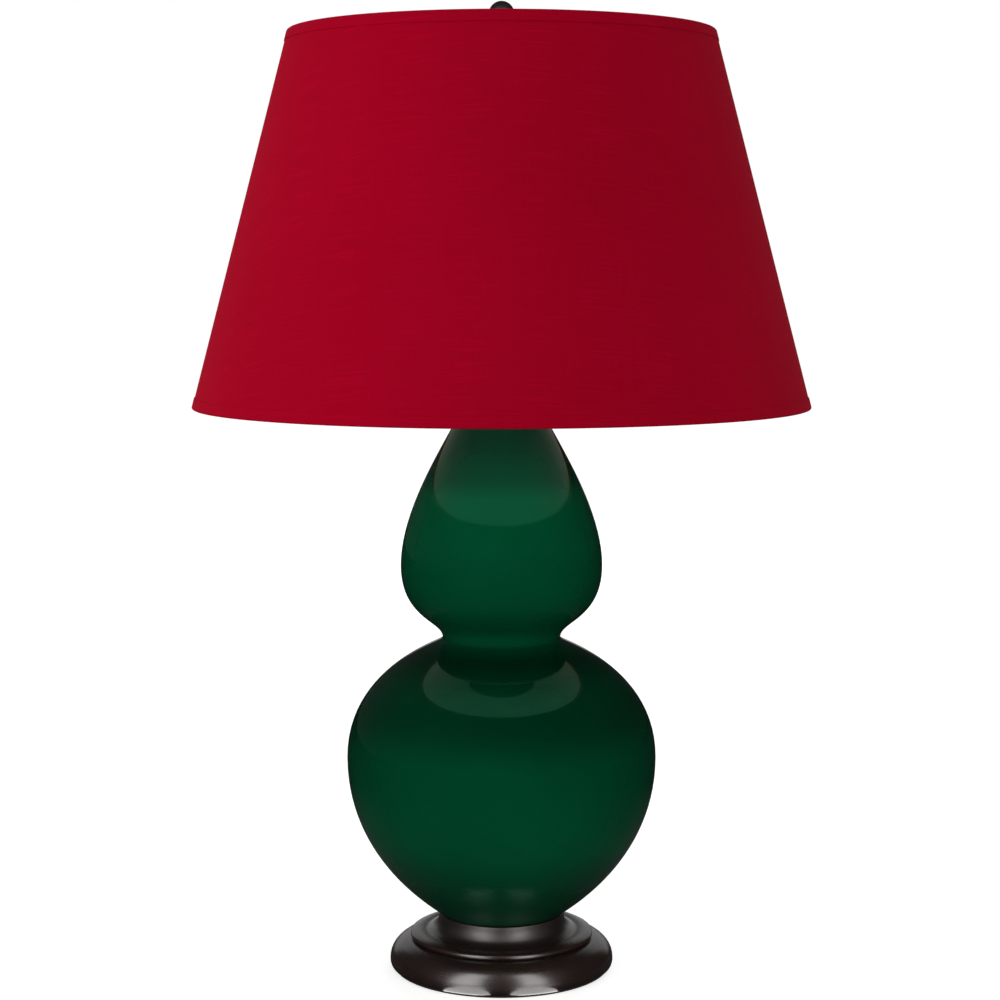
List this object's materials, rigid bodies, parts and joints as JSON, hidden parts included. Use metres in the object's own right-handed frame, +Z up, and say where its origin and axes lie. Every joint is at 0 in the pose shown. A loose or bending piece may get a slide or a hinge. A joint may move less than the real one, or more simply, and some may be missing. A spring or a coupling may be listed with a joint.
{
  "type": "table lamp",
  "caption": "Table lamp with a glazed double gourd ceramic body on a stepped bronze foot, with a tapered fabric shade on a harp.",
  "frame": {"origin": "centre of the felt under the foot, at the level that the lamp stands on", "axes": "+Z up along the lamp's axis; the front with the switch faces -Y; the cord outlet points to +Y"},
  "size_m": [0.4841, 0.484, 0.7641],
  "materials": {
    "felt": "pressed wool felt, matt",
    "dark_bronze": "dark patinated bronze under satin lacquer",
    "glaze": "deep green gloss glaze",
    "cork": "cut cork sheet",
    "zinc": "zinc plated",
    "aged_brass": "brushed, lacquered",
    "black_plastic": "moulded phenolic",
    "liner_paper": "vulcanised fibre sheet",
    "screw_metal": "rolled thread",
    "bulb_glass": "frosted inside",
    "bulb_ceramic": "black base insulator",
    "shade_fabric": "woven cotton, red",
    "shade_backing": "white stiff backing",
    "shade_wire": "white powder coat"
  },
  "bodies": {
    "root": {"felt_pad": "felt", "foot": "dark_bronze", "cord_bushing": "black_plastic", "cork_gasket": "cork", "gourd_body": "glaze", "threaded_rod": "zinc", "wide_washer": "zinc", "toothed_washer": "zinc", "base_nut": "zinc", "mouth_cap": "dark_bronze", "neck_spacer": "dark_bronze", "harp_saddle": "aged_brass", "socket_cap": "aged_brass", "socket_shell": "aged_brass", "socket_liner": "liner_paper", "socket_block": "black_plastic", "terminal_screw_right": "aged_brass", "terminal_screw_left": "zinc", "screw_shell": "screw_metal", "spring_contact": "aged_brass"},
    "harp": {"harp_wire_bow": "aged_brass", "harp_clamp_block": "aged_brass", "shade_stud": "aged_brass"},
    "sleeve_right": {"harp_sleeve_right": "aged_brass"},
    "sleeve_left": {"harp_sleeve_left": "aged_brass"},
    "switch": {"switch_shaft": "aged_brass", "switch_knob": "black_plastic"},
    "bulb": {"bulb_contact": "zinc", "bulb_insulator": "bulb_ceramic", "bulb_base": "screw_metal", "bulb_glass": "bulb_glass"},
    "shade": {"shade_fabric": "shade_fabric", "shade_backing": "shade_backing", "shade_top_ring": "shade_wire", "shade_bottom_ring": "shade_wire", "shade_trim_bottom": "shade_fabric", "shade_trim_top": "shade_fabric", "shade_spider": "shade_wire"},
    "finial": {"finial": "dark_bronze"}
  },
  "joints": [
    {"name": "harp_lift", "type": "slide", "parent": "root", "child": "harp", "axis": [0, 0, 1], "range_m": [0, 0.025]},
    {"name": "sleeve_right_lift", "type": "slide", "parent": "harp", "child": "sleeve_right", "axis": [0, 0, 1], "range_m": [0, 0.014]},
    {"name": "sleeve_left_lift", "type": "slide", "parent": "harp", "child": "sleeve_left", "axis": [0, 0, 1], "range_m": [0, 0.014]},
    {"name": "shade_turn", "type": "hinge", "parent": "harp", "child": "shade", "pos_m": [0, 0, 0.729], "axis": [0, 0, 1], "continuous": true},
    {"name": "finial_unscrew", "type": "slide", "parent": "harp", "child": "finial", "axis": [0, 0, 1], "range_m": [0, 0.012]},
    {"name": "switch_turn", "type": "hinge", "parent": "root", "child": "switch", "pos_m": [0, -0.02, 0.5235], "axis": [0, -1, 0], "continuous": true},
    {"name": "bulb_unscrew", "type": "slide", "parent": "root", "child": "bulb", "axis": [0, 0, 1], "range_m": [0, 0.025]}
  ]
}
